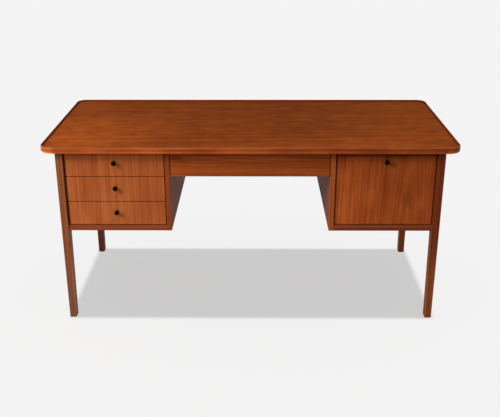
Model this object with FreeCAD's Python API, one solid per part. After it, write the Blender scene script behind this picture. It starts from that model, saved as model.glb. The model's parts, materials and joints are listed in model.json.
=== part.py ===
# Executive desk: a lipped top over two pedestals that hang between four corner posts.
# Three drawers stand on the left and one deep file drawer on the right.
# Millimetres, +Z up. The origin is on the floor under the middle of the top, and the
# sitter is on the -Y side. "hand" is -1 for the left pedestal and +1 for the right one.

import FreeCAD
import Part
import math
import os

from FreeCAD import Vector

# Whole desk
top_width = 1600.0
top_depth = 750.0
desk_height = 740.0
kneehole_width = 619.0
case_height = 328.0  # underside of the pedestals to the underside of the top

# Top: a veneered board framed by a solid lipping that stands proud of it
lip_height = 23.0
lip_width = 20.0
lip_rise = 7.0  # crest of the lipping above the writing surface
lip_crest_round = 1.5
lip_crest_width = 1.5
lip_cove_radius = 6.0  # at the foot of the crest, inside
lip_under_round = 3.0
front_corner_radius = 55.0
rear_corner_radius = 40.0

# Legs: posts that run up to the top and taper below the pedestals
leg_width = 30.0
leg_depth = 40.0
foot_width = 27.0
foot_depth = 36.0
leg_edge_round = 2.5
foot_chamfer = 1.5
leg_side_inset = 54.5  # end of the top to the outer face of the leg
leg_front_inset = 30.0
leg_rear_inset = 46.0

# Pedestal boards
outer_panel_thickness = 20.0
inner_panel_thickness = 19.0
bottom_panel_thickness = 21.0
back_panel_thickness = 12.0
back_panel_inset = 6.0  # rear edge of the inner panel to the back panel
back_groove_depth = 5.0
case_setback = 4.0  # front faces of the legs to the front edges of the boards
board_arris = 1.0

# Aprons across the kneehole
apron_height = 102.5
apron_thickness = 19.0
apron_setback = 3.0
apron_arris = 1.5

# Cleats that hold the top down and stop the drawers from tipping
cleat_width = 18.0
cleat_height = 18.0
cleat_end_gap = 2.0  # drawer front to the end of the cleat
cleat_under_gap = 4.0  # cleat to the drawer side below it

# Drawer fronts
row_names = ("lower_drawer", "middle_drawer", "upper_drawer")
row_height_shares = (0.322, 0.337, 0.341)  # of the height that the gaps leave
drawer_setback = 5.0
front_thickness = 19.0
front_arris = 1.0
reveal_side = 3.5
reveal_row = 3.0  # under, between and over the fronts

# Drawer boxes
box_rear_gap = 64.0  # rear end of the sides to the back panel
side_thickness = 12.0
side_foot = 6.0  # lower edge of the front to the lower edge of the side
tail_pitch = 25.0
tail_length = 12.0
tail_root_share = 0.5
tail_slope_share = 1 / 6
bottom_thickness = 5.0
bottom_rise = 8.0
bottom_groove_depth = 5.0
rear_board_thickness = 12.0
rear_board_inset = 12.0
rear_board_drop = 6.0
dado_depth = 3.0
panel_slack = 0.2

# Runners: strips on the pedestal that fill grooves in the drawer sides
groove_web = 5.0  # what the groove leaves of the side
groove_height = 15.0
groove_stop = 20.0  # back of the front to the blind end of the groove
runner_top_gap = 0.3
runner_under_gap = 0.7
runner_side_gap = 0.7
runner_end_gap = 1.0
runner_rear_gap = 6.0

# Knobs: turned, with a foot, a neck and a domed head
knob_foot_radius = 6.0
knob_foot_height = 1.5
knob_neck_radius = 4.3
knob_head_radius = 9.6
knob_head_height = 14.0  # drawer front to the start of the dome
knob_projection = 22.0
knob_neck_start_share = 0.43  # of the height of the head
knob_neck_end_share = 0.62
knob_flare_share = 0.28
knob_rise = 7.0  # middle of a small front to the knob
file_knob_drop = 39.0  # upper edge of the deep front to its knob
knob_screw_radius = 2.0
knob_screw_bite = 12.0
knob_screw_gap = 0.1
knob_screw_head_radius = 4.0
knob_screw_head_height = 2.6

# Dowels
dowel_radius = 4.0
dowel_edge_depth = 15.0  # into the end of a board
dowel_face_share = 0.65  # of the thickness, into the face of a board
dowel_leg_share = 0.4  # of the depth of the leg
dowel_gap = 0.08
case_dowel_shares = (0.15, 0.5, 0.85)
apron_dowel_shares = (0.25, 0.75)

# Countersunk wood screws
screw_radius = 1.8
screw_head_radius = 3.6
screw_head_depth = 2.4
screw_gap = 0.1
runner_screw_bite = 11.0
runner_screw_shares = (0.08, 0.5, 0.92)
top_screw_bite = 11.0
top_screw_shares = (0.1, 0.5, 0.9)

overrun = 5.0  # how far a cut runs past the face that it opens
same_place = 1e-4
quarter_bend_share = 1 - 0.5**0.5  # of a radius, from a corner to the middle of its quarter round

# Levels and planes that the pieces share
board_underside = desk_height - lip_height
writing_surface = desk_height - lip_rise
case_clearance = board_underside - case_height
leg_outer_x = top_width / 2 - leg_side_inset
leg_inner_x = leg_outer_x - leg_width
leg_front_y = -top_depth / 2 + leg_front_inset
leg_rear_y = top_depth / 2 - leg_rear_inset
side_front_y = leg_front_y + leg_depth
side_rear_y = leg_rear_y - leg_depth
knee_x = kneehole_width / 2
inner_panel_x = knee_x + inner_panel_thickness
case_front_y = leg_front_y + case_setback
case_rear_y = leg_rear_y - case_setback
case_floor_z = case_clearance + bottom_panel_thickness
back_panel_rear_y = case_rear_y - back_panel_inset
back_panel_front_y = back_panel_rear_y - back_panel_thickness
apron_bottom_z = board_underside - apron_height
front_face_y = case_front_y + drawer_setback
front_back_y = front_face_y + front_thickness
box_rear_y = back_panel_front_y - box_rear_gap
rear_board_rear_y = box_rear_y - rear_board_inset
rear_board_front_y = rear_board_rear_y - rear_board_thickness
fronts_low_z = case_floor_z + reveal_row
fronts_high_z = board_underside - reveal_row
fronts_room = fronts_high_z - fronts_low_z - reveal_row * (len(row_names) - 1)
side_drop = cleat_height + cleat_under_gap - reveal_row
groove_depth = side_thickness - groove_web
runner_height = groove_height - runner_top_gap - runner_under_gap
runner_thickness = reveal_side + groove_depth - runner_side_gap

ALONG_X = Vector(1, 0, 0)
ALONG_Y = Vector(0, 1, 0)
UP = Vector(0, 0, 1)

nodes = {}
dowels = []
runner_screws = []
top_screws = []


# Small tools


def block(x0, x1, y0, y1, z0, z1):
    """A box between two opposite corners, given in any order."""
    corner = Vector(min(x0, x1), min(y0, y1), min(z0, z1))
    return Part.makeBox(abs(x1 - x0), abs(y1 - y0), abs(z1 - z0), corner)


def at_share(start, end, share):
    return start + (end - start) * share


def rounded_outline(x0, x1, y0, y1, z, front_radius, rear_radius):
    """A level rectangle with round corners, as a closed wire."""
    x0, x1 = min(x0, x1), max(x0, x1)
    y0, y1 = min(y0, y1), max(y0, y1)
    rounds = []
    for x, y, to_x, to_y in ((x1, y0, -1, 1), (x1, y1, -1, -1), (x0, y1, 1, -1), (x0, y0, 1, 1)):
        radius = front_radius if y == y0 else rear_radius
        bend = radius * quarter_bend_share
        on_x_edge = Vector(x + to_x * radius, y, z)
        on_y_edge = Vector(x, y + to_y * radius, z)
        middle = Vector(x + to_x * bend, y + to_y * bend, z)
        first, last = (on_x_edge, on_y_edge) if to_x * to_y < 0 else (on_y_edge, on_x_edge)
        rounds.append((first, middle, last))
    edges = []
    for (first, middle, last), following in zip(rounds, rounds[1:] + rounds[:1]):
        edges.append(Part.Arc(first, middle, last).toShape())
        edges.append(Part.LineSegment(last, following[0]).toShape())
    return Part.Wire(edges)


def edges_at(shape, **place):
    """The edges that lie on all the given planes, such as y=-341."""
    found = []
    for edge in shape.Edges:
        box = edge.BoundBox
        spans = {"x": (box.XMin, box.XMax), "y": (box.YMin, box.YMax), "z": (box.ZMin, box.ZMax)}
        ends = [end - value for axis, value in place.items() for end in spans[axis]]
        if all(abs(end) < same_place for end in ends):
            found.append(edge)
    return found


def drill(name, tool):
    nodes[name] = nodes[name].cut(tool)


def peg(face_node, end_node, seat, direction, face_depth):
    """A dowel through seat, along direction, from the face of one board into the end of another."""
    start = seat - direction * face_depth
    length = face_depth + dowel_edge_depth
    hole_start = start - direction * dowel_gap
    hole = Part.makeCylinder(dowel_radius + dowel_gap, length + 2 * dowel_gap, hole_start, direction)
    drill(face_node, hole)
    drill(end_node, hole)
    dowels.append(Part.makeCylinder(dowel_radius, length, start, direction))


def countersunk(point, direction, length, gap):
    """A countersunk screw, or its hole where gap is the clearance all round."""
    cone = Part.makeCone(screw_head_radius + gap, screw_radius + gap, screw_head_depth, point, direction)
    shank = Part.makeCylinder(screw_radius + gap, length + gap, point, direction)
    return cone.fuse(shank)


def drive(through_node, into_node, point, direction, length, group):
    hole = countersunk(point, direction, length, screw_gap)
    drill(through_node, hole)
    drill(into_node, hole)
    group.append(countersunk(point, direction, length, 0))


# Top


def lip_profile():
    """Section of the lipping as (distance in from the outer face, height above its underside)."""
    under_bend = lip_under_round * quarter_bend_share
    crest_bend = lip_crest_round * quarter_bend_share
    cove_bend = lip_cove_radius * quarter_bend_share
    shoulder = lip_height - lip_crest_round
    surface = lip_height - lip_rise
    crest_end = lip_crest_round + lip_crest_width
    cove_top = surface + lip_cove_radius
    cove_end = crest_end + lip_cove_radius
    return [
        ("line", (lip_width, 0), (lip_under_round, 0)),
        ("arc", (lip_under_round, 0), (under_bend, under_bend), (0, lip_under_round)),
        ("line", (0, lip_under_round), (0, shoulder)),
        ("arc", (0, shoulder), (crest_bend, lip_height - crest_bend), (lip_crest_round, lip_height)),
        ("line", (lip_crest_round, lip_height), (crest_end, lip_height)),
        ("line", (crest_end, lip_height), (crest_end, cove_top)),
        ("arc", (crest_end, cove_top), (crest_end + cove_bend, surface + cove_bend), (cove_end, surface)),
        ("line", (cove_end, surface), (lip_width, surface)),
        ("line", (lip_width, surface), (lip_width, 0)),
    ]


def lip_face(place):
    """The section as a face; place turns (distance in, height) into a point."""
    makers = {"line": Part.LineSegment, "arc": Part.Arc}
    edges = []
    for kind, *points in lip_profile():
        edges.append(makers[kind](*[place(*point) for point in points]).toShape())
    return Part.Face(Part.Wire(edges))


def make_top():
    half_width = top_width / 2
    half_depth = top_depth / 2
    radii = {-1: front_corner_radius, 1: rear_corner_radius}
    board_x = half_width - lip_width
    board_y = half_depth - lip_width
    outline = rounded_outline(-board_x, board_x, -board_y, board_y, board_underside,
                              front_corner_radius - lip_width, rear_corner_radius - lip_width)
    nodes["top_panel"] = Part.Face(outline).extrude(UP * (writing_surface - board_underside))

    for name, side in (("front", -1), ("rear", 1)):
        run_x = half_width - radii[side]
        face = lip_face(lambda d, h: Vector(-run_x, side * (half_depth - d), board_underside + h))
        nodes["lipping_" + name] = face.extrude(ALONG_X * (2 * run_x))
    front_end = front_corner_radius - half_depth
    rear_end = half_depth - rear_corner_radius
    for name, side in (("left", -1), ("right", 1)):
        face = lip_face(lambda d, h: Vector(side * (half_width - d), front_end, board_underside + h))
        nodes["lipping_" + name] = face.extrude(ALONG_Y * (rear_end - front_end))

    corners = []
    for side_x, side_y in ((-1, -1), (1, -1), (1, 1), (-1, 1)):
        radius = radii[side_y]
        centre = Vector(side_x * (half_width - radius), side_y * (half_depth - radius), 0)
        face = lip_face(lambda d, h: centre + Vector(side_x * (radius - d), 0, board_underside + h))
        corners.append(face.revolve(centre, UP, side_x * side_y * 90))
    nodes["lipping_corners"] = Part.makeCompound(corners)


# Legs


def make_leg(name, hand, outer_y, inward):
    """A post whose two outer faces are plumb; the two inner faces taper below the pedestal."""
    outer_x = hand * leg_outer_x

    def section(width, depth, inset, z):
        x0, x1 = outer_x - hand * inset, outer_x - hand * (width - inset)
        y0, y1 = outer_y + inward * inset, outer_y + inward * (depth - inset)
        return rounded_outline(x0, x1, y0, y1, z, leg_edge_round, leg_edge_round)

    sections = [
        section(foot_width, foot_depth, foot_chamfer, 0),
        section(foot_width, foot_depth, 0, foot_chamfer),
        section(leg_width, leg_depth, 0, case_clearance),
        section(leg_width, leg_depth, 0, board_underside),
    ]
    nodes[name] = Part.makeLoft(sections, True, True)


# Pedestals


def make_case(side, hand):
    """The four boards of a pedestal, dowelled to each other and to its two legs."""
    outer, inner = side + "_outer_panel", side + "_inner_panel"
    bottom, back = side + "_bottom_panel", side + "_back_panel"
    front_leg, rear_leg = "leg_front_" + side, "leg_rear_" + side
    inner_x, knee, leg_x = hand * inner_panel_x, hand * knee_x, hand * leg_inner_x
    outward = ALONG_X * hand

    outer_face_x = hand * (leg_inner_x + outer_panel_thickness)
    nodes[outer] = block(leg_x, outer_face_x, side_front_y, side_rear_y, case_clearance, board_underside)

    panel = block(knee, inner_x, case_front_y, case_rear_y, case_clearance, board_underside)
    arrises = edges_at(panel, x=knee, y=case_front_y) + edges_at(panel, x=inner_x, y=case_front_y)
    nodes[inner] = panel.makeFillet(board_arris, arrises)

    panel = block(inner_x, leg_x, case_front_y, case_rear_y, case_clearance, case_floor_z)
    lower_arris = edges_at(panel, y=case_front_y, z=case_clearance)
    upper_arris = edges_at(panel, y=case_front_y, z=case_floor_z)
    nodes[bottom] = panel.makeFillet(board_arris, lower_arris + upper_arris)

    groove_x0 = hand * (inner_panel_x - back_groove_depth)
    groove_x1 = hand * (leg_inner_x + back_groove_depth)
    nodes[back] = block(
        groove_x0, groove_x1, back_panel_front_y, back_panel_rear_y, case_floor_z, board_underside
    )
    drill(inner, nodes[back])
    drill(rear_leg, nodes[back])

    leg_hole = leg_depth * dowel_leg_share
    inner_hole = inner_panel_thickness * dowel_face_share
    outer_hole = outer_panel_thickness * dowel_face_share
    dowel_x = hand * (leg_inner_x + outer_panel_thickness / 2)
    floor_middle = (case_clearance + case_floor_z) / 2
    for share in case_dowel_shares:
        z = at_share(case_clearance, board_underside, share)
        peg(front_leg, outer, Vector(dowel_x, side_front_y, z), ALONG_Y, leg_hole)
        peg(rear_leg, outer, Vector(dowel_x, side_rear_y, z), -ALONG_Y, leg_hole)
        y = at_share(side_front_y, side_rear_y, share)
        peg(inner, bottom, Vector(inner_x, y, floor_middle), outward, inner_hole)
        peg(outer, bottom, Vector(leg_x, y, floor_middle), -outward, outer_hole)


def make_apron(name, face_y, inward):
    """A rail across the kneehole, between the two inner panels."""
    back_y = face_y + inward * apron_thickness
    rail = block(-knee_x, knee_x, face_y, back_y, apron_bottom_z, board_underside)
    arrises = edges_at(rail, y=face_y, z=apron_bottom_z) + edges_at(rail, y=back_y, z=apron_bottom_z)
    nodes[name] = rail.makeFillet(apron_arris, arrises)
    for side, hand in (("left", -1), ("right", 1)):
        for share in apron_dowel_shares:
            z = at_share(apron_bottom_z, board_underside, share)
            seat = Vector(hand * knee_x, (face_y + back_y) / 2, z)
            depth = inner_panel_thickness * dowel_face_share
            peg(side + "_inner_panel", name, seat, ALONG_X * -hand, depth)


def make_cleats(side, hand):
    """Two strips under the top, each screwed up into it."""
    name = side + "_top_cleats"
    front_y = front_back_y + cleat_end_gap
    low_z = board_underside - cleat_height
    walls = ((hand * inner_panel_x, hand), (hand * leg_inner_x, -hand))
    strips = [
        block(x, x + away * cleat_width, front_y, back_panel_front_y, low_z, board_underside)
        for x, away in walls
    ]
    nodes[name] = Part.makeCompound(strips)
    for x, away in walls:
        for share in top_screw_shares:
            y = at_share(front_y, back_panel_front_y, share)
            point = Vector(x + away * cleat_width / 2, y, low_z)
            drive(name, "top_panel", point, UP, cleat_height + top_screw_bite, top_screws)


# Drawers


def groove_span(low_z, high_z):
    """Lower and upper face of the runner groove in a drawer whose front spans these heights."""
    middle = (low_z + side_foot + high_z - side_drop) / 2
    return middle - groove_height / 2, middle + groove_height / 2


def make_runners(side, hand, fronts):
    """A strip on each wall of the pedestal for every drawer in it."""
    front_y = front_back_y + groove_stop + runner_end_gap
    rear_y = back_panel_front_y - runner_rear_gap
    walls = (("inner", hand * inner_panel_x, hand), ("outer", hand * leg_inner_x, -hand))
    for wall, x, away in walls:
        name = side + "_runners_" + wall
        face_x = x + away * runner_thickness
        strips = []
        heights = []
        for low_z, high_z in fronts:
            top_z = groove_span(low_z, high_z)[1] - runner_top_gap
            strips.append(block(x, face_x, front_y, rear_y, top_z - runner_height, top_z))
            heights.append(top_z - runner_height / 2)
        nodes[name] = Part.makeCompound(strips)
        for z in heights:
            for share in runner_screw_shares:
                point = Vector(face_x, at_share(front_y, rear_y, share), z)
                length = runner_thickness + runner_screw_bite
                drive(name, f"{side}_{wall}_panel", point, ALONG_X * -away, length, runner_screws)


def tails(outer_x, inner_x, low_z, high_z):
    """The dovetails on the front end of a drawer side, one solid each."""
    count = max(2, round((high_z - low_z) / tail_pitch))
    pitch = (high_z - low_z) / count
    root = pitch * tail_root_share / 2
    end = root + tail_length * tail_slope_share
    end_y = front_back_y - tail_length
    made = []
    for place in range(count):
        z = low_z + pitch * (place + 0.5)
        points = [
            Vector(outer_x, front_back_y, z - root),
            Vector(outer_x, end_y, z - end),
            Vector(outer_x, end_y, z + end),
            Vector(outer_x, front_back_y, z + root),
        ]
        outline = Part.makePolygon(points + points[:1])
        made.append(Part.Face(outline).extrude(ALONG_X * (inner_x - outer_x)))
    return made


def make_side(name, outer_x, facing, low_z, high_z, groove, bottom_z):
    """A drawer side: tails in front, a runner groove outside, a bottom groove and a dado inside."""
    inner_x = outer_x - facing * side_thickness
    side_tails = tails(outer_x, inner_x, low_z, high_z)
    board = block(outer_x, inner_x, front_back_y, box_rear_y, low_z, high_z)
    board = board.multiFuse(side_tails).removeSplitter()
    past_rear_y = box_rear_y + overrun
    bottom_top_z = bottom_z + bottom_thickness
    groove_x = outer_x - facing * groove_depth
    cuts = [
        block(outer_x + facing * overrun, groove_x, front_back_y + groove_stop, past_rear_y, *groove),
        block(
            inner_x - facing * overrun,
            inner_x + facing * bottom_groove_depth,
            front_back_y,
            past_rear_y,
            bottom_z,
            bottom_top_z + panel_slack,
        ),
        block(
            inner_x - facing * overrun,
            inner_x + facing * dado_depth,
            rear_board_front_y,
            rear_board_rear_y,
            bottom_top_z,
            high_z + overrun,
        ),
    ]
    nodes[name] = board.cut(cuts)
    return side_tails


def make_front(name, x0, x1, low_z, high_z, side_tails, bottom_z, knob_x, knob_z):
    """A drawer front with sockets for the tails, a groove for the bottom and a hole for a screw."""
    board = block(x0, x1, front_face_y, front_back_y, low_z, high_z)
    board = board.makeFillet(front_arris, edges_at(board, y=front_face_y))
    groove = block(
        x0 + side_thickness,
        x1 - side_thickness,
        front_back_y - bottom_groove_depth,
        front_back_y + overrun,
        bottom_z,
        bottom_z + bottom_thickness + panel_slack,
    )
    hole_start = Vector(knob_x, front_face_y - overrun, knob_z)
    hole = Part.makeCylinder(
        knob_screw_radius + knob_screw_gap, front_thickness + 2 * overrun, hole_start, ALONG_Y
    )
    nodes[name] = board.cut(side_tails + [groove, hole])


def make_bottom(name, x0, x1, bottom_z):
    """A thin panel held in the grooves of the sides and the front; it runs out under the rear board."""
    top_z = bottom_z + bottom_thickness
    reach = bottom_groove_depth - panel_slack
    inner_x0, inner_x1 = x0 + side_thickness, x1 - side_thickness
    panel = block(inner_x0 - reach, inner_x1 + reach, front_back_y, rear_board_rear_y, bottom_z, top_z)
    tongue = block(inner_x0, inner_x1, front_back_y - reach, front_back_y, bottom_z, top_z)
    nodes[name] = panel.fuse(tongue).removeSplitter()


def make_rear_board(name, x0, x1, low_z, high_z):
    inner_x0, inner_x1 = x0 + side_thickness, x1 - side_thickness
    nodes[name] = block(
        inner_x0 - dado_depth, inner_x1 + dado_depth, rear_board_front_y, rear_board_rear_y, low_z, high_z
    )


def make_knob(name, x, z):
    """A turned knob on the face of a front, bored for its screw."""
    dome_height = knob_projection - knob_head_height
    dome_radius = (knob_head_radius**2 + dome_height**2) / (2 * dome_height)
    dome_centre = knob_projection - dome_radius
    half_dome = math.atan2(knob_head_radius, knob_head_height - dome_centre) / 2
    neck_start = knob_head_height * knob_neck_start_share
    neck_end = knob_head_height * knob_neck_end_share

    def point(radius, height):
        return Vector(radius, -height)

    foot_rim = point(knob_foot_radius, 0)
    foot_edge = point(knob_foot_radius, knob_foot_height)
    neck_low = point(knob_neck_radius, neck_start)
    neck_high = point(knob_neck_radius, neck_end)
    flare_radius = at_share(knob_neck_radius, knob_head_radius, knob_flare_share)
    flare_middle = point(flare_radius, at_share(knob_head_height, neck_end, knob_flare_share))
    head_rim = point(knob_head_radius, knob_head_height)
    dome_middle = point(
        dome_radius * math.sin(half_dome), dome_centre + dome_radius * math.cos(half_dome)
    )
    crown = point(0, knob_projection)
    curves = [
        Part.LineSegment(Vector(), foot_rim),
        Part.LineSegment(foot_rim, foot_edge),
        Part.LineSegment(foot_edge, neck_low),
        Part.LineSegment(neck_low, neck_high),
        Part.Arc(neck_high, flare_middle, head_rim),
        Part.Arc(head_rim, dome_middle, crown),
        Part.LineSegment(crown, Vector()),
    ]
    section = Part.Face(Part.Wire([curve.toShape() for curve in curves]))
    knob = section.revolve(Vector(), ALONG_Y, 360)
    bore = Part.makeCylinder(
        knob_screw_radius + knob_screw_gap, knob_screw_bite + knob_screw_gap, Vector(), -ALONG_Y
    )
    knob = knob.cut(bore)
    knob.translate(Vector(x, front_face_y, z))
    nodes[name] = knob


def make_knob_screw(name, x, z):
    """A cheese-head screw from inside the drawer, through the front and into the knob."""
    seat = Vector(x, front_back_y, z)
    head = Part.makeCylinder(knob_screw_head_radius, knob_screw_head_height, seat, ALONG_Y)
    shank = Part.makeCylinder(knob_screw_radius, front_thickness + knob_screw_bite, seat, -ALONG_Y)
    nodes[name] = head.fuse(shank).removeSplitter()


def make_drawer(name, hand, low_z, high_z, knob_z):
    """The seven pieces of one drawer, whose front spans these heights."""
    x0, x1 = sorted((hand * (inner_panel_x + reveal_side), hand * (leg_inner_x - reveal_side)))
    side_low, side_high = low_z + side_foot, high_z - side_drop
    bottom_z = side_low + bottom_rise
    groove = groove_span(low_z, high_z)
    knob_x = (x0 + x1) / 2
    left_tails = make_side(name + "_left_side", x0, -1, side_low, side_high, groove, bottom_z)
    right_tails = make_side(name + "_right_side", x1, 1, side_low, side_high, groove, bottom_z)
    make_front(name + "_front", x0, x1, low_z, high_z, left_tails + right_tails, bottom_z, knob_x, knob_z)
    make_rear_board(name + "_back", x0, x1, bottom_z + bottom_thickness, side_high - rear_board_drop)
    make_bottom(name + "_bottom", x0, x1, bottom_z)
    make_knob(name + "_knob", knob_x, knob_z)
    make_knob_screw(name + "_knob_screw", knob_x, knob_z)


# Whole desk


def make_desk():
    make_top()
    for side, hand in (("left", -1), ("right", 1)):
        make_leg("leg_front_" + side, hand, leg_front_y, 1)
        make_leg("leg_rear_" + side, hand, leg_rear_y, -1)
        make_case(side, hand)
        make_cleats(side, hand)
    make_apron("front_apron", case_front_y + apron_setback, 1)
    make_apron("rear_apron", case_rear_y - apron_setback, -1)

    rows = []
    low_z = fronts_low_z
    for share in row_height_shares:
        high_z = low_z + fronts_room * share
        rows.append((low_z, high_z))
        low_z = high_z + reveal_row
    make_runners("left", -1, rows)
    for name, (low_z, high_z) in zip(row_names, rows):
        make_drawer(name, -1, low_z, high_z, (low_z + high_z) / 2 + knob_rise)

    make_runners("right", 1, [(fronts_low_z, fronts_high_z)])
    make_drawer("file_drawer", 1, fronts_low_z, fronts_high_z, fronts_high_z - file_knob_drop)

    nodes["carcass_dowels"] = Part.makeCompound(dowels)
    nodes["runner_screws"] = Part.makeCompound(runner_screws)
    nodes["top_screws"] = Part.makeCompound(top_screws)


make_desk()
os.makedirs("parts", exist_ok=True)
for node, shape in nodes.items():
    shape.exportStep(f"parts/{node}.step")
print(len(nodes), "nodes,", sum(len(shape.Solids) for shape in nodes.values()), "solids")
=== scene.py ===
# Executive desk in oiled teak: finishes, moulded lip, turned knobs, studio and camera.
# Everything is in metres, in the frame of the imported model.

import json
import math
from fnmatch import fnmatch

import bpy
import numpy as np
from mathutils import Euler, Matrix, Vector

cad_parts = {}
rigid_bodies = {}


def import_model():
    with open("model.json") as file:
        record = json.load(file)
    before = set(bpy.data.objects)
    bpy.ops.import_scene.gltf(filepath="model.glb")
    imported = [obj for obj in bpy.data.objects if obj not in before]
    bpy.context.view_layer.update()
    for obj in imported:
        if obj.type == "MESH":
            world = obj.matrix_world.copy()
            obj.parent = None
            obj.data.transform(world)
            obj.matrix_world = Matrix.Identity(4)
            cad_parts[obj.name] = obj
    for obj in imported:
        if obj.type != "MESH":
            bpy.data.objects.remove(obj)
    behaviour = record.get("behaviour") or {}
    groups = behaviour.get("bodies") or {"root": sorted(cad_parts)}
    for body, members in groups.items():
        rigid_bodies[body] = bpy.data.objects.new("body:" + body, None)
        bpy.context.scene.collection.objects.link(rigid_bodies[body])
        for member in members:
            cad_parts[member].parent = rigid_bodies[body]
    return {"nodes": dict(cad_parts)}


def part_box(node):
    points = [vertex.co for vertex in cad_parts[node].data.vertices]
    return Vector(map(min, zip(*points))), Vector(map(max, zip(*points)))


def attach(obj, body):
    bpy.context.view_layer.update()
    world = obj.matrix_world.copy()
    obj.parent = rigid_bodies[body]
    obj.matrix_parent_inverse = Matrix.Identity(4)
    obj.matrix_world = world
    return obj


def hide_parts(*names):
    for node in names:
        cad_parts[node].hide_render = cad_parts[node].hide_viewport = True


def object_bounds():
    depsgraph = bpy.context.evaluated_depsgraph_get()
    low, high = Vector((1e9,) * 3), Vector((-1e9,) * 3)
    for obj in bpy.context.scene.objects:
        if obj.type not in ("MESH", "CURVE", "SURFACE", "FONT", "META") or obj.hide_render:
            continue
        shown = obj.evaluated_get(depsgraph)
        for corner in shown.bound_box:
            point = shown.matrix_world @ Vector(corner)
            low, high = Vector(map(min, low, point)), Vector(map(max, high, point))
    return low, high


for leftOver in list(bpy.data.objects):
    bpy.data.objects.remove(leftOver)

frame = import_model()
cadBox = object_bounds()
nodes = frame["nodes"]
mm = 0.001
print("frame loaded:", len(nodes), "pieces, box", [round(v, 3) for corner in cadBox for v in corner])


# Tools for meshes and materials

def linearColor(hexText):
    # sRGB hex to linear, alpha 1
    channels = [int(hexText[i:i + 2], 16) / 255 for i in (1, 3, 5)]
    return [c / 12.92 if c <= 0.04045 else ((c + 0.055) / 1.055) ** 2.4 for c in channels] + [1.0]


def addNode(tree, kind, inputs=None, **settings):
    # a node with its settings; an input is a value or the socket that feeds it
    node = tree.nodes.new("ShaderNode" + kind)
    for key, value in settings.items():
        setattr(node, key, value)
    for socket, value in (inputs or {}).items():
        if isinstance(value, bpy.types.NodeSocket):
            tree.links.new(value, node.inputs[socket])
        else:
            node.inputs[socket].default_value = value
    return node


def scalarMath(tree, operation, *values):
    return addNode(tree, "Math", dict(enumerate(values)), operation=operation).outputs[0]


def vectorMath(tree, operation, *values):
    node = addNode(tree, "VectorMath", dict(enumerate(values)), operation=operation)
    return node.outputs["Value" if operation == "LENGTH" else "Vector"]


def mapRange(tree, value, start, end=(0.0, 1.0), **settings):
    # carries the range start over to the range end and holds still outside it
    return addNode(tree, "MapRange", {"Value": value, "From Min": start[0], "From Max": start[1],
                                      "To Min": end[0], "To Max": end[1]}, **settings).outputs[0]


mixFactor, mixA, mixB, mixColor = 0, 6, 7, 2  # sockets of a Mix node that blends colours


def blend(tree, factor, first, second):
    return addNode(tree, "Mix", {mixFactor: factor, mixA: first, mixB: second},
                   data_type="RGBA").outputs[mixColor]


def newMaterial(name):
    material = bpy.data.materials.new(name)
    material.use_nodes = True
    material.node_tree.nodes.clear()
    return material, material.node_tree


def addSurface(tree, inputs):
    shader = addNode(tree, "BsdfPrincipled", inputs)
    addNode(tree, "OutputMaterial", {"Surface": shader.outputs[0]})


def makePiece(name, points, quads, caps, uvs, materials, body, slot, sharpAngle, finishIndex=None):
    # one mesh from whole arrays; turned inside out if its signed volume is negative
    faces = quads.tolist() + [list(cap) for cap in caps]
    a, b, c, d = (points[quads[:, k]] for k in range(4))
    volume = (np.cross(a, b) * c).sum() + (np.cross(a, c) * d).sum()
    if volume < 0:
        faces = [face[::-1] for face in faces]
        uvs = [uv[::-1] for uv in uvs]
    mesh = bpy.data.meshes.new(name)
    mesh.from_pydata(points.tolist(), [], faces)
    layer = mesh.uv_layers.new(name="along_and_round")
    layer.data.foreach_set("uv", np.concatenate(uvs).astype(np.float32).ravel())
    mesh.polygons.foreach_set("use_smooth", [True] * len(mesh.polygons))
    mesh.set_sharp_from_angle(angle=sharpAngle)
    for material in materials:
        mesh.materials.append(material)
    if finishIndex is not None:
        mesh.polygons.foreach_set("material_index", finishIndex)
    mesh.validate()
    piece = bpy.data.objects.new(name, mesh)
    bpy.context.scene.collection.objects.link(piece)
    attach(piece, body)
    return piece


# Wood. A tree is nested cones about its pith, so at any point the ring number is the distance
# from the pith line plus a taper along the grain, over the ring width. Boards cut beside the pith
# show arches, boards cut far from it show straight stripes, as in real timber.

grainTurn = {"x": (0, -90, 0), "y": (90, 0, 0), "z": (0, 0, 0)}  # degrees that turn the grain to +Z

woodDefaults = {
    "grain": "z",
    "fromUv": False,  # the grain follows a moulding's own map
    "pith": (0, 0, 0),  # metres, a point on the pith line
    "taper": 0.02,
    "ringWidth": 11 * mm,
    "wander": (70 * mm, 420 * mm, 9 * mm),  # width, length and reach of the drift of the rings
    "fibre": (3.2 * mm, 150 * mm),  # real fibres are finer; drawn wide enough to show
    "tone": (120 * mm, 900 * mm),
    "pore": (1.5 * mm, 26 * mm),  # real pores are 0.3 mm; drawn coarse so that they show
    "weights": (0.5, 0.3, 0.2),  # rings, fibres, tone
    "spread": (0.30, 0.70),
    "lineShare": 0.35,
    "poreShare": 0.3,
    "rough": (0.42, 0.56),
    "specular": 0.3,
    "bump": 0.25,
    "bumpDepth": 0.12 * mm,
    "seed": 0.0,
    "faded": [],  # parts of the piece that are paler or darker than the rest: the wood's own tone, painted light and painted shade
}

woodFields = {  # what all woods share
    "shift": {"wander": 0.0, "fibre": 3.1, "tone": 7.7, "pore": 5.3},  # keeps the fields of one wood apart
    "detail": {"wander": 1.0, "fibre": 2.0, "tone": 1.0, "pore": 0.0},
    "roughness": 0.55,
    "rings": {"Scale": 0.55, "Detail": 2.5, "Roughness": 0.6},  # broad and narrow bands across the years
    "years": {"Scale": 0.31, "Detail": 0.0},  # good and poor years
    "poreEdge": (0.6, 0.74),  # levels of the field between which a pore comes in
    "lateEdge": (0.7, 0.97),  # shares of a year between which its dark line comes in
    "strongEdge": (0.42, 0.7),  # levels between which a year's line gets its full strength
    "patchEdge": (0.4, 1.1),  # shares of a patch's half size between which it ends
    "roughEdge": (0.3, 0.7),
    "ior": 1.5,
}


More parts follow.
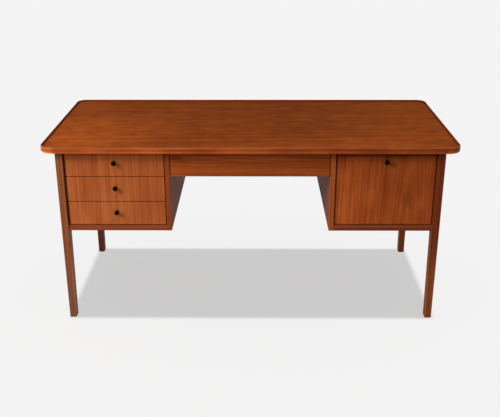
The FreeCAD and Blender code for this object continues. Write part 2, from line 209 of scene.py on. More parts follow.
def fade(middle, halfSize, tone, outside=1.0):
    # one patch of the wood's own tone, of painted light or of painted shade: where it is, how large, its tone
    # and the tone outside it, grey or RGB
    return middle, halfSize, tone, outside


def woodFinish(name, **changes):
    look = {**woodDefaults, **changes}
    material, tree = newMaterial(name)
    turn = Euler([math.radians(d) for d in grainTurn[look["grain"]]])
    pith = Vector(look["pith"])
    pith.rotate(turn)
    if look["fromUv"]:
        place = addNode(tree, "UVMap", uv_map="along_and_round").outputs["UV"]
    else:
        place = addNode(tree, "TexCoord").outputs["Object"]
    mapped = addNode(tree, "Mapping", {"Vector": place, "Location": -pith, "Rotation": turn}).outputs[0]

    def field(kind, source, width, length):
        # noise with one unit across for each width and one along for each length
        scaled = vectorMath(tree, "MULTIPLY", source, (1 / width, 1 / width, 1 / length))
        settings = {"W": look["seed"] + woodFields["shift"][kind], "Scale": 1.0,
                    "Detail": woodFields["detail"][kind], "Roughness": woodFields["roughness"]}
        return addNode(tree, "TexNoise", {"Vector": scaled, **settings}, noise_dimensions="4D")

    def alongRings(settings):
        return addNode(tree, "TexNoise", {"W": ring, **settings}, noise_dimensions="1D").outputs["Fac"]

    width, length, reach = look["wander"]
    drift = field("wander", mapped, width, length).outputs["Color"]
    shift = vectorMath(tree, "MULTIPLY_ADD", drift, (reach, reach, 0), (-reach / 2, -reach / 2, 0))
    warped = vectorMath(tree, "ADD", mapped, shift)
    radius = vectorMath(tree, "LENGTH", vectorMath(tree, "MULTIPLY", warped, (1, 1, 0)))
    along = addNode(tree, "SeparateXYZ", {0: warped}).outputs["Z"]
    cone = scalarMath(tree, "MULTIPLY_ADD", along, look["taper"], radius)
    ring = scalarMath(tree, "DIVIDE", cone, look["ringWidth"])
    bands = alongRings(woodFields["rings"])
    fibres = field("fibre", warped, *look["fibre"]).outputs["Fac"]
    tones = field("tone", mapped, *look["tone"]).outputs["Fac"]
    pores = mapRange(tree, field("pore", warped, *look["pore"]).outputs["Fac"], woodFields["poreEdge"])

    # late wood: a thin dark line at the end of each year, stronger in some years than in others
    yearEnd = mapRange(tree, scalarMath(tree, "FRACT", ring), woodFields["lateEdge"],
                       interpolation_type="SMOOTHSTEP")
    strong = mapRange(tree, alongRings(woodFields["years"]), woodFields["strongEdge"])
    lines = scalarMath(tree, "MULTIPLY", yearEnd, strong)

    ringWeight, fibreWeight, toneWeight = look["weights"]
    mixed = scalarMath(tree, "MULTIPLY", tones, toneWeight)
    mixed = scalarMath(tree, "MULTIPLY_ADD", fibres, fibreWeight, mixed)
    mixed = scalarMath(tree, "MULTIPLY_ADD", bands, ringWeight, mixed)
    ramp = addNode(tree, "ValToRGB", {"Fac": mapRange(tree, mixed, look["spread"])})
    stops = ramp.color_ramp.elements
    stops.new(0.5)  # the middle one of the three colours
    for stop, color in zip(stops, look["colors"]):
        stop.color = linearColor(color)
    late = linearColor(look["late"])
    color = blend(tree, scalarMath(tree, "MULTIPLY", lines, look["lineShare"]), ramp.outputs["Color"], late)
    color = blend(tree, scalarMath(tree, "MULTIPLY", pores, look["poreShare"]), color, late)

    for middle, halfSize, inside, outside in look["faded"]:
        offset = vectorMath(tree, "SUBTRACT", place, middle)
        shares = vectorMath(tree, "MULTIPLY", offset, [1 / size for size in halfSize])
        share = mapRange(tree, vectorMath(tree, "LENGTH", shares), woodFields["patchEdge"],
                         interpolation_type="SMOOTHSTEP")
        tone = blend(tree, share, [*np.broadcast_to(inside, 3), 1.0], [*np.broadcast_to(outside, 3), 1.0])
        color = vectorMath(tree, "MULTIPLY", color, tone)

    relief = scalarMath(tree, "SUBTRACT", fibres, pores)
    bump = addNode(tree, "Bump", {"Strength": look["bump"], "Distance": look["bumpDepth"], "Height": relief})
    addSurface(tree, {"Base Color": color,
                      "Roughness": mapRange(tree, fibres, woodFields["roughEdge"], look["rough"]),
                      "IOR": woodFields["ior"], "Specular IOR Level": look["specular"],
                      "Normal": bump.outputs[0]})
    return material


# Teak veneer, sliced and oiled: red-brown, satin, fine dark pores along the grain.
# The writing board is crown cut with its grain along the desk and has no gloss left.
topVeneer = woodFinish(
    "oiled teak veneer, board", grain="x", pith=(0, 0.11, 0.55), taper=0.03, ringWidth=14 * mm,
    wander=(110 * mm, 420 * mm, 14 * mm), fibre=(12 * mm, 260 * mm), tone=(40 * mm, 70 * mm),
    weights=(0.25, 0.35, 0.4), spread=(0.34, 0.66), colors=("#6A2E0C", "#7A3912", "#894317"), late="#5C240A",
    lineShare=0.2, specular=0.003, rough=(0.5, 0.62), seed=2.4,
    faded=[fade((-0.15, 0.1, 0.735), (0.85, 0.75, 1.0), 0.87, 1.26),  # painted light: paler towards its ends
           fade((-0.57, -0.1, 0.735), (0.32, 0.24, 1.0), 1.27)])  # and more painted light, strongest on the left
# The small fronts are quarter cut from one leaf, so that upright stripes run through all three.
stackVeneer = woodFinish(
    "oiled teak veneer, small fronts", grain="z", pith=(-1.35, -0.1, 0), taper=0.006, ringWidth=13 * mm,
    wander=(140 * mm, 900 * mm, 14 * mm), fibre=(4 * mm, 160 * mm), tone=(70 * mm, 190 * mm),
    weights=(0.28, 0.42, 0.3), spread=(0.33, 0.67), colors=("#853D19", "#9B5027", "#B06336"), late="#6C280F",
    lineShare=0.16, specular=0.04, seed=5.0,
    faded=[fade((-0.36, -0.33, 0.72), (0.42, 1.0, 0.36), (0.96, 0.92, 0.87), 1.07),  # painted shade: darker and redder towards the upper right, under the top's edge; paler at the lower left
           fade((-0.52, -0.33, 0.695), (1.0, 1.0, 0.009), 1.33)])  # painted light: paler in a thin band just below the top's edge, where its shade falls
# The deep front is crown cut: one tall arch right of its middle, upright stripes beside it.
deepVeneer = woodFinish(
    "oiled teak veneer, deep front", grain="z", pith=(0.617, -0.286, 0.30), taper=0.04, ringWidth=12 * mm,
    wander=(110 * mm, 420 * mm, 9 * mm), fibre=(4 * mm, 170 * mm), tone=(80 * mm, 150 * mm),
    weights=(0.32, 0.26, 0.42), spread=(0.34, 0.66), colors=("#762F0E", "#98471D", "#B45C2C"), late="#602209",
    lineShare=0.25, specular=0.02, seed=8.5,
    faded=[fade((0.66, -0.33, 0.68), (0.4, 1.0, 0.36), 0.87, 1.14),  # painted shade: darker towards the upper right, under the top's edge; paler at the lower left
           fade((0.52, -0.33, 0.706), (1.0, 1.0, 0.016), 0.5),  # painted shade at its upper, left and lower edges, in the gaps and under the top's edge
           fade((0.332, -0.33, 0.56), (0.015, 1.0, 1.0), 0.6),
           fade((0.52, -0.33, 0.413), (1.0, 1.0, 0.005), 0.55)])
# The aprons have their grain sideways, with an arch that starts at the upper left corner.
apronVeneer = woodFinish(
    "oiled teak veneer, aprons", grain="x", pith=(-0.2, -0.29, 0.712), taper=-0.03, ringWidth=10 * mm,
    wander=(80 * mm, 500 * mm, 8 * mm), fibre=(5 * mm, 220 * mm), weights=(0.34, 0.38, 0.28),
    spread=(0.33, 0.67), colors=("#702E0E", "#8A3F15", "#9E4F20"), late="#501804", lineShare=0.36,
    specular=0.05, seed=1.2,
    faded=[fade((0.4, -0.3, 0.66), (0.7, 1.0, 1.0), 0.94, 1.08),  # painted light: paler towards the left, darker towards the right
           fade((-0.3095, -0.333, 0.66), (0.005, 1.0, 1.0), 0.45),  # painted shade where it meets the pedestals
           fade((0.3095, -0.333, 0.66), (0.006, 1.0, 1.0), 0.3),
           fade((-0.284, -0.333, 0.69), (0.032, 0.1, 0.013), 0.7),  # dark eye at the start of the arch
           fade((-0.26, -0.333, 0.674), (0.045, 0.1, 0.007), 0.78),
           fade((0.01, -0.333, 0.691), (0.26, 0.1, 0.02), 1.38)])  # painted light in the middle of its upper part, lifting the top's shade
caseWood = {"grain": "z", "pith": (0.0, -1.1, 0), "taper": 0.02, "ringWidth": 14 * mm,
            "fibre": (4 * mm, 180 * mm), "spread": (0.33, 0.67), "late": "#561F09"}
caseVeneer = woodFinish(
    "oiled teak veneer, pedestals", **caseWood, colors=("#6E2D10", "#883E19", "#9C4D23"),
    specular=0.015, seed=3.3)
# The boards along the kneehole have a red front edge and a browner, drier face.
leftInnerVeneer = woodFinish(
    "oiled teak veneer, left kneehole side", **caseWood, colors=("#642913", "#7C381A", "#8E4726"),
    specular=0.0125, seed=3.3,
    faded=[fade((-0.32, -0.336, 0.55), (3.0, 0.03, 3.0), 1.0, (1.2, 1.2, 0.6))])
rightInnerVeneer = woodFinish(
    "oiled teak veneer, right kneehole side", **caseWood, colors=("#753316", "#90451E", "#A6562A"),
    specular=0.0095, seed=4.8,
    faded=[fade((0.32, -0.336, 0.55), (3.0, 0.03, 3.0), 1.0, (0.66, 0.72, 0.4))])
floorVeneer = woodFinish(
    "oiled teak veneer, pedestal floors", grain="x", pith=(0.0, -0.1, 1.3), taper=0.02, ringWidth=12 * mm,
    spread=(0.33, 0.67), colors=("#5C240B", "#6F3215", "#81411F"), late="#4C1B07", specular=0.12, seed=6.1,
    faded=[fade((0.52, -0.33, 0.4), (1.0, 1.0, 1.0), 0.91),  # the right one is darker
           fade((0.0, -0.33, 0.407), (3.0, 3.0, 0.007), 1.33)])  # paler along the upper arris

# Solid teak, planed and oiled: browner, with deeper figure. Each leg has its own copy of the colours, darker
# or paler as painted shade and light, and the front ones are paler near the floor as a painted sheen.
legWood = {"grain": "z", "pith": (0.0, -0.05, 0), "taper": 0.03, "ringWidth": 7 * mm,
           "wander": (60 * mm, 300 * mm, 6 * mm), "spread": (0.33, 0.67)}
frontLeftTeak = woodFinish(
    "oiled solid teak, front left leg", **legWood, colors=("#5F2B14", "#7A4021", "#8F522E"), late="#481F0D",
    specular=0.18, seed=4.4,
    # painted sheen: paler and bluer near the floor
    faded=[fade((-0.73, -0.32, 0.55), (1.0, 1.0, 0.45), (1.0, 0.94, 0.7), (1.0, 1.2, 1.7)),
           fade((-0.7155, -0.32, 0.55), (0.005, 1.0, 0.25), 0.3),  # painted shade beside the drawers
           fade((-0.717, -0.32, 0.12), (0.005, 1.0, 0.22), (1.9, 2.1, 2.5))])  # painted sheen, pale and bluish, below them
# painted shade: darker colours for the front right leg, with a painted sheen near the floor
frontRightTeak = woodFinish(
    "oiled solid teak, front right leg", **legWood, colors=("#54200A", "#6E3012", "#813D1B"), late="#3E1606",
    specular=0.06, seed=4.4,
    faded=[fade((0.73, -0.32, 0.62), (3.0, 3.0, 0.5), (0.93, 0.86, 0.8), (1.65, 2.05, 2.5))])
# painted shade: darker colours for the rear left leg
rearLeftTeak = woodFinish(
    "oiled solid teak, rear left leg", **legWood, colors=("#4A2215", "#5F3524", "#714431"), late="#3A1506",
    specular=0.06, seed=7.9)
# painted light: paler colours for the rear right leg, lifting the shade it stands in
rearRightTeak = woodFinish(
    "oiled solid teak, rear right leg", **legWood, colors=("#7C3517", "#994821", "#B05A2F"), late="#5A2409",
    specular=0.06, seed=6.3)

# Lipping: places on it are metres along the timber, whose front stretch starts at its left end, and
# metres round the section, from the inner lower edge outwards.
edgeWood = {"grain": "x", "fromUv": True, "pith": (0.0, 0.08, 0.02), "taper": 0.015, "ringWidth": 6 * mm,
            "tone": (50 * mm, 170 * mm), "spread": (0.35, 0.65), "seed": 9.1}
lipTeak = woodFinish(
    "oiled solid teak, lipping", **edgeWood, wander=(40 * mm, 320 * mm, 5 * mm), weights=(0.25, 0.25, 0.5),
    colors=("#6B2608", "#8B3B13", "#A45121"), late="#601F07", rough=(0.34, 0.46), specular=0.07,
    faded=[fade((1.0, 33 * mm, 0), (100.0, 9 * mm, 1.0), 0.9, 1.18),  # painted shade on the upper half of the outer face
           fade((1.0, 19 * mm, 0), (100.0, 6 * mm, 1.0), 1.3),  # painted light on the lower arris, which faces the pale floor
           fade((0.0, 0, 0), (0.3, 10.0, 1.0), (1.38, 1.7, 2.2)),  # painted sheen at the left end of the front
           fade((6.9, 0, 0), (0.2, 10.0, 1.0), (1.65, 2.2, 3.0)),  # and a painted glint on the corner beside it
           fade((0.83, 0, 0), (0.2, 10.0, 1.0), 0.76),  # right of the middle of the front
           fade((1.45, 0, 0), (0.45, 10.0, 1.0), (0.72, 0.72, 0.7))])  # right end of the front

# Crest of the raised edge: the same timber, polished by sleeves, with a bright line where a lamp catches it.
crestColors = {"colors": ("#712908", "#913E13", "#AB5520"), "late": "#601F07"}
crestTeak = woodFinish(
    "oiled solid teak, polished crest", **edgeWood, **crestColors, rough=(0.14, 0.22), specular=0.16)
# The corner pieces show more end grain, which took more lacquer.
cornerCrestTeak = woodFinish(
    "oiled solid teak, lacquered corner crest", **edgeWood, **crestColors, rough=(0.1, 0.16), specular=0.3)
# At the back no sleeve reaches it: dry, without gloss; its paler, redder colours are painted light.
rearCrestTeak = woodFinish(
    "oiled solid teak, rear crest", **edgeWood, colors=("#AA390B", "#CC5318", "#E86E28"), late="#8C2C0A",
    specular=0.0)

# Inside of the raised edge: the same timber, darkened by old oil that gathers in the cove, and darker still
# as painted shade along the raised edge.
lipCove = woodFinish(
    "oiled solid teak, dark cove", **edgeWood, colors=("#4C1703", "#5A1F04", "#682606"), late="#3A1002",
    specular=0.01)
rearCove = woodFinish(
    "oiled solid teak, rear cove", **edgeWood, colors=("#571A01", "#662302", "#752B03"), late="#421201",
    specular=0.0)

# Beech, planed: pale, with short brown flecks.
beech = {"taper": 0.01, "lineShare": 0.3, "poreShare": 0.35}
drawerBeech = {**beech, "ringWidth": 9 * mm, "pore": (1.3 * mm, 6 * mm), "specular": 0.3,
               "colors": ("#C79B69", "#D4AB7A", "#DDB98B"), "late": "#A9774A"}
sideBeech = woodFinish("planed beech, drawer sides", **drawerBeech, grain="y", pith=(0.0, 0, 1.4), seed=1.7)
backBeech = woodFinish("planed beech, drawer backs", **drawerBeech, grain="x", pith=(0, 0.2, 1.4), seed=2.9)
# Waxed where the drawers slide: darker, with a soft shine.
runnerBeech = woodFinish(
    "waxed beech, runners and cleats", **beech, grain="y", pith=(0.1, 0, 1.2), ringWidth=6 * mm,
    pore=(1.2 * mm, 6 * mm), colors=("#B88A5A", "#C79B6A", "#D2AA7A"), late="#9A6A40",
    rough=(0.35, 0.5), specular=0.35, seed=6.6)
# Birch plywood, sanded: paler and more even, with a broad rotary-cut figure.
bottomPlywood = woodFinish(
    "sanded birch plywood, drawer bottoms", grain="x", pith=(0, 0.05, 0.35), taper=0.05, ringWidth=16 * mm,
    wander=(160 * mm, 500 * mm, 40 * mm), pore=(1.1 * mm, 14 * mm), colors=("#CFAE80", "#DABD93", "#E3CAA4"),
    late="#B48F60", lineShare=0.3, poreShare=0.2, specular=0.25, seed=7.2)
print("woods made")


# Ebonised wood, turned and lacquered: nearly black, a cool tint, rings of the lathe in the gloss.
ebonySettings = {
    "dark": "#040505",
    "light": "#0A0B0C",
    "turning": 0.9 * mm,
    "cellsAcross": 90.0,  # in a metre, square to the axis
    "rough": (0.22, 0.32),
    "bump": 0.15,
    "bumpDepth": 0.05 * mm,
    "ior": 1.5,
    "specular": 0.015,
}


def ebonisedFinish(settings):
    material, tree = newMaterial("black lacquered turned wood")
    place = addNode(tree, "TexCoord").outputs["Object"]
    across = settings["cellsAcross"]
    scaled = vectorMath(tree, "MULTIPLY", place, (across, 1 / settings["turning"], across))
    rings = addNode(tree, "TexNoise", {"Vector": scaled, "Scale": 1.0, "Detail": 1.0}).outputs["Fac"]
    bump = addNode(tree, "Bump", {"Strength": settings["bump"], "Distance": settings["bumpDepth"],
                                  "Height": rings})
    addSurface(tree, {"Base Color": blend(tree, rings, linearColor(settings["dark"]),
                                          linearColor(settings["light"])),
                      "Roughness": mapRange(tree, rings, (0.0, 1.0), settings["rough"]),
                      "IOR": settings["ior"], "Specular IOR Level": settings["specular"],
                      "Normal": bump.outputs[0]})
    return material


# Zinc-plated steel: a bright, slightly mottled metal.
zincSettings = {
    "dark": "#A9ABA8",
    "light": "#CDCECA",
    "mottle": 1.6 * mm,
    "detail": 2.0,
    "rough": (0.26, 0.4),
}


def zincFinish(settings):
    material, tree = newMaterial("zinc plated steel")
    place = addNode(tree, "TexCoord").outputs["Object"]
    mottle = addNode(tree, "TexNoise", {"Vector": place, "Scale": 1 / settings["mottle"],
                                        "Detail": settings["detail"]}).outputs["Fac"]
    addSurface(tree, {"Base Color": blend(tree, mottle, linearColor(settings["dark"]),
                                          linearColor(settings["light"])),
                      "Metallic": 1.0, "Roughness": mapRange(tree, mottle, (0.0, 1.0), settings["rough"])})
    return material


ebony = ebonisedFinish(ebonySettings)
zinc = zincFinish(zincSettings)


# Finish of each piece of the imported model: the first pattern that fits its name counts

finishes = [
    ("*screw", zinc),
    ("*screws", zinc),
    ("*knob", ebony),
    ("lipping*", lipTeak),
    ("leg_front_left", frontLeftTeak),
    ("leg_front_right", frontRightTeak),
    ("leg_rear_left", rearLeftTeak),
    ("leg_rear_right", rearRightTeak),
    ("left_inner_panel", leftInnerVeneer),
    ("right_inner_panel", rightInnerVeneer),
    ("top_panel", topVeneer),
    ("*apron", apronVeneer),
    ("file_drawer_front", deepVeneer),
    ("*drawer_front", stackVeneer),
    ("*drawer_bottom", bottomPlywood),
    ("*drawer_back", backBeech),
    ("*left_side", sideBeech),
    ("*right_side", sideBeech),
    ("*bottom_panel", floorVeneer),
    ("*panel", caseVeneer),
    ("*", runnerBeech),
]

for node, piece in nodes.items():
    finish = next(material for pattern, material in finishes if fnmatch(node, pattern))
    for slot in piece.material_slots:
        slot.material = finish
print("finishes assigned")


# Lip round the top: a moulding with an eased crest, carried along each side and round each corner

lip = {
    "crestWidth": 3.0 * mm,
    "outerRound": 1.5 * mm,
    "innerRound": 0.7 * mm,  # inner edge of the crest, worn soft
    "cove": 6.0 * mm,
    "underRound": 3.0 * mm,
    "seamEase": 0.3 * mm,  # hairline where the lip meets the board
    "frontRadius": 55.0 * mm,
    "rearRadius": 40.0 * mm,
    "sideSkip": 0.37,  # timber left out after each side, so that each is cut from another stretch
    "cornerStretch": 0.53,  # timber from the start of one corner to that of the next
    "roundSteps": 9,
    "station": 25.0 * mm,
    "cornerSteps": 28,
    "sharp": math.radians(40),
}
onFace, onStrip, inCove, onCrest = range(4)  # order of the materials on a lip piece


def arcOf(center, radius, start, end, steps):
    # points of a circle from one angle to another, in degrees
    angle = np.radians(np.linspace(start, end, steps))
    return np.stack([center[0] + radius * np.cos(angle), center[1] + radius * np.sin(angle)], axis=1)


def lipSection(width, height, rise):
    # closed outline as (distance in from the outer face, height): under round, outer face,
    # crest with two eased edges, cove down to the writing level, eased seam
    surface = height - rise
    steps = lip["roundSteps"]
    under, outer, inner, cove = lip["underRound"], lip["outerRound"], lip["innerRound"], lip["cove"]
    crest, ease = lip["crestWidth"], lip["seamEase"]
    return np.concatenate([
        [(width, 0)],
        arcOf((under, under), under, 270, 180, 2 * steps),
        arcOf((outer, height - outer), outer, 180, 90, steps),
        arcOf((crest - inner, height - inner), inner, 90, 0, steps),
        arcOf((crest + cove, surface + cove), cove, 180, 270, steps),
        [(width - ease, surface), (width, surface - ease)],
    ])


def lipFinish(stations):
    # material of each face, in the order of the section's points, and of the two caps
    steps = lip["roundSteps"]
    crestStart = 1 + 2 * steps
    coveStart = 4 * steps - 2  # with the last of the crest's inner round
    stripStart = 5 * steps  # level strip and seam, which the board's veneer runs over
    finish = np.full((stations - 1, stripStart + 3), onFace, dtype=np.int32)
    finish[:, crestStart:coveStart] = onCrest
    finish[:, coveStart:stripStart] = inCove
    finish[:, stripStart:stripStart + 2] = onStrip
    return np.concatenate([finish.ravel(), [onFace, onFace]])


def carried(section, origins, inward, startLength):
    # station i, section point j: origin_i + inward_i * distance_j + up * height_j
    distance, height = section[:, 0], section[:, 1]
    points = origins[:, None, :] + inward[:, None, :] * distance[None, :, None]
    points[:, :, 2] += height[None, :]
    count, around = points.shape[:2]
    i, j = np.meshgrid(np.arange(count - 1), np.arange(around), indexing="ij")
    following = (j + 1) % around
    quads = np.stack([i * around + j, (i + 1) * around + j,
                      (i + 1) * around + following, i * around + following], axis=-1).reshape(-1, 4)
    caps = [np.arange(around), (count - 1) * around + np.arange(around)[::-1]]
    # map: length along the moulding, length round its section
    middle = points.mean(axis=1)
    steps = np.linalg.norm(np.diff(middle, axis=0), axis=1)
    along = startLength + np.concatenate([[0], np.cumsum(steps)])
    loop = np.concatenate([section, section[:1]])
    rounding = np.concatenate([[0], np.cumsum(np.linalg.norm(np.diff(loop, axis=0), axis=1))])
    corners = [(i, j), (i + 1, j), (i + 1, j + 1), (i, j + 1)]
    quadUvs = np.stack([np.stack([along[a], rounding[b]], axis=-1) for a, b in corners],
                       axis=2).reshape(-1, 4, 2)
    endUvs = [np.stack([along[0] + distance, height], axis=1),
              np.stack([along[-1] + distance, height], axis=1)[::-1]]
    return points.reshape(-1, 3), quads, caps, list(quadUvs) + endUvs


def makeLip():
    low, high = cadBox
    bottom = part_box("lipping_front")[0].z
    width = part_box("lipping_front")[1].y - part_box("lipping_front")[0].y
    section = lipSection(width, high.z - bottom, high.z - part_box("top_panel")[1].z)
    front, rear = lip["frontRadius"], lip["rearRadius"]
    frontX, rearX = high.x - front, high.x - rear
    frontY, rearY = low.y + front, high.y - rear
    sides = {
        "front": ((-frontX, low.y), (frontX, low.y), (0, 1)),
        "rear": ((rearX, high.y), (-rearX, high.y), (0, -1)),
        "left": ((low.x, rearY), (low.x, frontY), (1, 0)),
        "right": ((high.x, frontY), (high.x, rearY), (-1, 0)),
    }
    startLength = 0.0
    for side, (start, end, inwardXy) in sides.items():
        start, end = np.array(start), np.array(end)
        length = np.linalg.norm(end - start)
        share = np.linspace(0, 1, int(length / lip["station"]) + 1)[:, None]
        flat = start + (end - start) * share
        origins = np.column_stack([flat, np.full(len(flat), bottom)])
        inward = np.tile([*inwardXy, 0.0], (len(flat), 1))
        inside, crest = (rearCove, rearCrestTeak) if side == "rear" else (lipCove, crestTeak)
        piece = makePiece("moulded_lip_" + side, *carried(section, origins, inward, startLength),
                          [lipTeak, topVeneer, inside, crest], "desk_frame", "solid_teak_lipping",
                          lip["sharp"], lipFinish(len(flat)))
        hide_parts("lipping_" + side)
        startLength += length + lip["sideSkip"]

    parts = []
    offset = 0
    for centerX, centerY, radius, startAngle in ((rearX, rearY, rear, 0), (-rearX, rearY, rear, 90),
                                                 (-frontX, frontY, front, 180), (frontX, frontY, front, 270)):
        angle = np.radians(np.linspace(startAngle, startAngle + 90, lip["cornerSteps"]))
        outward = np.column_stack([np.cos(angle), np.sin(angle), np.zeros(len(angle))])
        origins = outward * radius + np.array([centerX, centerY, bottom])
        points, quads, caps, uvs = carried(section, origins, -outward, startLength)
        parts.append((points, quads + offset, [cap + offset for cap in caps], uvs))
        offset += len(points)
        startLength += lip["cornerStretch"]
    # makePiece takes all quads first and then all caps, with their maps in the same order
    finish = np.tile(lipFinish(lip["cornerSteps"])[:-2], len(parts))
    finish = np.concatenate([finish, np.full(2 * len(parts), onFace, dtype=np.int32)])
    quadUvs = sum((p[3][:-2] for p in parts), [])
    capUvs = sum((p[3][-2:] for p in parts), [])
    piece = makePiece("moulded_lip_corners", np.concatenate([p[0] for p in parts]),
                      np.concatenate([p[1] for p in parts]), sum((p[2] for p in parts), []),
                      quadUvs + capUvs, [lipTeak, topVeneer, lipCove, cornerCrestTeak], "desk_frame",
                      "solid_teak_lipping", lip["sharp"], finish)
    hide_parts("lipping_corners")


makeLip()
print("lip made")


# Knobs: turned round an axis square to the drawer front

knob = {
    "footShare": 0.62,  # of the head's radius
    "neckShare": 0.45,
    "footEnd": 0.07,  # heights as shares of the projection
    "neckStart": 0.27,
    "neckEnd": 0.40,
    "rimStart": 0.60,
    "rimEnd": 0.67,
    "turns": 72,
    "rows": 14,
    "sharp": math.radians(50),
}


def knobOutline(radius, height):
    # (radius, height) from the foot to the crown: straight foot, cosine down to the neck, quarter
    # ellipse out to the rim, straight rim, then a dome that is a quarter ellipse with a flat crown
    rows = knob["rows"]
    t = np.linspace(0, 1, rows)
    foot, neck = knob["footShare"] * radius, knob["neckShare"] * radius
    waist = neck + (foot - neck) * (1 + np.cos(np.pi * t)) / 2
    waistHeight = knob["footEnd"] + (knob["neckStart"] - knob["footEnd"]) * t
    quarter = t * np.pi / 2
    flare = radius - (radius - neck) * np.cos(quarter)
    flareHeight = knob["neckEnd"] + (knob["rimStart"] - knob["neckEnd"]) * np.sin(quarter)
    dome = radius * np.cos(quarter)
    domeHeight = knob["rimEnd"] + (1 - knob["rimEnd"]) * np.sin(quarter)
    outline = np.concatenate([
        np.column_stack([[foot], [0.0]]),
        np.column_stack([waist, waistHeight]),
        np.column_stack([flare, flareHeight]),
        np.column_stack([dome[:-1], domeHeight[:-1]]),
    ])
    outline[:, 1] *= height
    return outline


def makeKnob(drawer):
    low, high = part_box(drawer + "_knob")
    center = (low + high) / 2
    radius = (high.x - low.x) / 2
    outline = knobOutline(radius, high.y - low.y)
    turns = knob["turns"]
    angle = np.linspace(0, 2 * np.pi, turns, endpoint=False)
    points = np.empty((len(outline), turns, 3))
    points[:, :, 0] = center.x + outline[:, :1] * np.cos(angle)
    points[:, :, 1] = high.y - outline[:, 1:]
    points[:, :, 2] = center.z + outline[:, :1] * np.sin(angle)
    i, j = np.meshgrid(np.arange(len(outline) - 1), np.arange(turns), indexing="ij")
    following = (j + 1) % turns
    quads = np.stack([i * turns + j, i * turns + following,
                      (i + 1) * turns + following, (i + 1) * turns + j], axis=-1).reshape(-1, 4)
    caps = [np.arange(turns)[::-1], (len(outline) - 1) * turns + np.arange(turns)]
    corners = [(i, j), (i, j + 1), (i + 1, j + 1), (i + 1, j)]
    quadUvs = np.stack([np.stack([b / turns, a / len(outline)], axis=-1) for a, b in corners],
                       axis=2).reshape(-1, 4, 2)
    capUvs = [np.zeros((turns, 2)), np.zeros((turns, 2))]
    piece = makePiece("turned_knob_" + drawer, points.reshape(-1, 3), quads, caps,
                      list(quadUvs) + capUvs, [ebony], drawer, "ebonised_wood", knob["sharp"])
    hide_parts(drawer + "_knob")


for drawer in ("upper_drawer", "middle_drawer", "lower_drawer", "file_drawer"):
    makeKnob(drawer)
print("knobs made")


# Studio: a pale floor that keeps the shadow, a soft light from the left that draws the knobs' shadows,
# wide ones high in front of the desk and above it, light thrown back by the floor, a weak one from the right

studio = {
    "pale": "#F2F2F2",
    "white": "#FFFFFF",
    "paper": "#BCBCBC",
    "card": "#080808",
    "floorSize": 60.0,
    "floorGlow": 0.543,  # adds to the lit paper, so that it reads as the pale background
    "ambient": 0.18,
    "overheadPlace": (0.0, -0.1, 4.0),
    "overheadStrength": 1.69,
    "overheadAngle": 2.2,
    "flag": ((-0.7465, -0.351), (0.752, 0.3295), 0.725),  # two corners and level of the card for the shadow
    "aim": (0.0, -0.1, 0.62),
    "softboxes": {
        "left": {"place": (-2.4, -2.1, 2.35), "size": (0.65, 1.4), "power": 100.0},
        "front": {"place": (-0.4, -1.7, 2.7), "size": (2.0, 1.2), "power": 24.0},
        "above": {"place": (-0.3, -0.8, 2.7), "size": (2.2, 1.2), "power": 20.0},
        "bounce": {"place": (-0.3, -1.7, 0.05), "size": (2.6, 0.9), "power": 4.0},
        "right": {"place": (2.0, -1.7, 1.6), "size": (0.9, 0.9), "power": 3.0},
    },
}


def seenAsBackground(tree):
    # 1 for what the eye, a mirror or glass sees, 0 for light that falls on the desk
    path = addNode(tree, "LightPath").outputs
    direct = scalarMath(tree, "MAXIMUM", path["Is Camera Ray"], path["Is Glossy Ray"])
    return scalarMath(tree, "MAXIMUM", direct, path["Is Transmission Ray"])


def makeWorld():
    world = bpy.data.worlds.new("studio")
    world.use_nodes = True
    tree = world.node_tree
    tree.nodes.clear()
    light = addNode(tree, "Background", {"Color": linearColor(studio["white"]),
                                         "Strength": studio["ambient"]})
    seen = addNode(tree, "Background", {"Color": linearColor(studio["pale"]), "Strength": 1.0})
    mix = addNode(tree, "MixShader", {0: seenAsBackground(tree), 1: light.outputs[0], 2: seen.outputs[0]})
    addNode(tree, "OutputWorld", {"Surface": mix.outputs[0]})
    bpy.context.scene.world = world


def makeSheet(name, low, high, level, material):
    # one level rectangle of the studio
    mesh = bpy.data.meshes.new(name)
    mesh.from_pydata([(low[0], low[1], level), (high[0], low[1], level), (high[0], high[1], level),
                      (low[0], high[1], level)], [], [(0, 1, 2, 3)])
    mesh.materials.append(material)
    sheet = bpy.data.objects.new(name, mesh)
    bpy.context.scene.collection.objects.link(sheet)
    return sheet


def makeFloor():
    half = studio["floorSize"] / 2
    material, tree = newMaterial("pale paper floor")
    paper = addNode(tree, "BsdfDiffuse", {"Color": linearColor(studio["paper"])})
    glow = addNode(tree, "Emission", {"Color": linearColor(studio["white"]), "Strength": studio["floorGlow"]})
    lifted = addNode(tree, "AddShader", {0: paper.outputs[0], 1: glow.outputs[0]})
    mix = addNode(tree, "MixShader", {0: seenAsBackground(tree), 1: paper.outputs[0], 2: lifted.outputs[0]})
    addNode(tree, "OutputMaterial", {"Surface": mix.outputs[0]})
    return makeSheet("pale_floor", (-half, -half), (half, half), 0, material)


def makeFlag():
    # a card inside the top, as large as the stand of the four legs, that only the shadow shows
    material, tree = newMaterial("matt black card")
    card = addNode(tree, "BsdfDiffuse", {"Color": linearColor(studio["card"])})
    addNode(tree, "OutputMaterial", {"Surface": card.outputs[0]})
    flag = makeSheet("shadow_flag", *studio["flag"], material)
    flag.visible_camera = flag.visible_diffuse = flag.visible_glossy = flag.visible_transmission = False


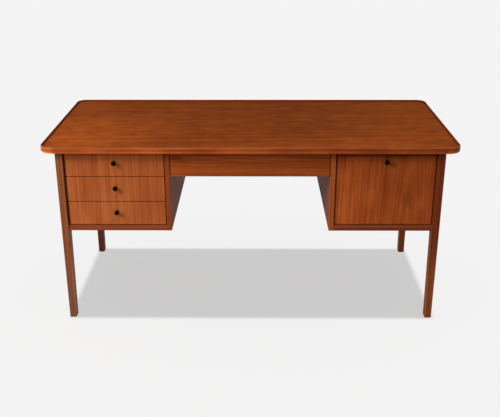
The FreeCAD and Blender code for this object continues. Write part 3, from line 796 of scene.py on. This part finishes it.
def lightGroup(name, pieces, state):
    # pieces that a lamp lights or leaves out
    group = bpy.data.collections.new(name)
    for piece in pieces:
        group.objects.link(piece)
    for member in group.collection_objects:
        member.light_linking.link_state = state
    return group


def addLamp(name, kind, place, **settings):
    lamp = bpy.data.lights.new(name, kind)
    for key, value in settings.items():
        setattr(lamp, key, value)
    lampObject = bpy.data.objects.new(name, lamp)
    lampObject.location = place
    lampObject.rotation_euler = (Vector(studio["aim"]) - Vector(place)).to_track_quat("-Z", "Y").to_euler()
    bpy.context.scene.collection.objects.link(lampObject)
    return lampObject


makeWorld()
floor = makeFloor()
makeFlag()
overhead = addLamp("overhead", "SUN", studio["overheadPlace"], energy=studio["overheadStrength"],
                   angle=math.radians(studio["overheadAngle"]))
overhead.light_linking.receiver_collection = lightGroup("only_on_floor", [floor], "INCLUDE")
# the shadow ends at the feet: what stands out past them lets this light pass, and the card stops the rest
overhang = [nodes["top_panel"]]
overhang += [piece for piece in bpy.data.objects if piece.name.startswith(("moulded_lip", "turned_knob"))]
overhead.light_linking.blocker_collection = lightGroup("overhang", overhang, "EXCLUDE")
# the softboxes fall off with distance, so they leave the even floor to the overhead light
notOnFloor = lightGroup("not_on_floor", [floor], "EXCLUDE")
for side, box in studio["softboxes"].items():
    width, height = box["size"]
    softbox = addLamp(side + "_softbox", "AREA", box["place"], energy=box["power"], shape="RECTANGLE",
                      size=width, size_y=height)
    softbox.light_linking.receiver_collection = notOnFloor
    softbox.visible_camera = False
print("studio made")


# Camera at the photograph's viewing angle, for a 500 x 417 picture

view = {"place": (0.0214, -3.175, 1.6196), "turn": (68.15, 0.08, 0.415), "lens": 56.22, "sensor": 36.0}
camera = bpy.data.cameras.new("desk_view")
camera.lens = view["lens"]
camera.sensor_width = view["sensor"]
camera.sensor_fit = "HORIZONTAL"
cameraObject = bpy.data.objects.new("desk_view", camera)
cameraObject.location = view["place"]
cameraObject.rotation_euler = [math.radians(d) for d in view["turn"]]
bpy.context.scene.collection.objects.link(cameraObject)
bpy.context.scene.camera = cameraObject
bpy.context.scene.view_settings.view_transform = "Standard"
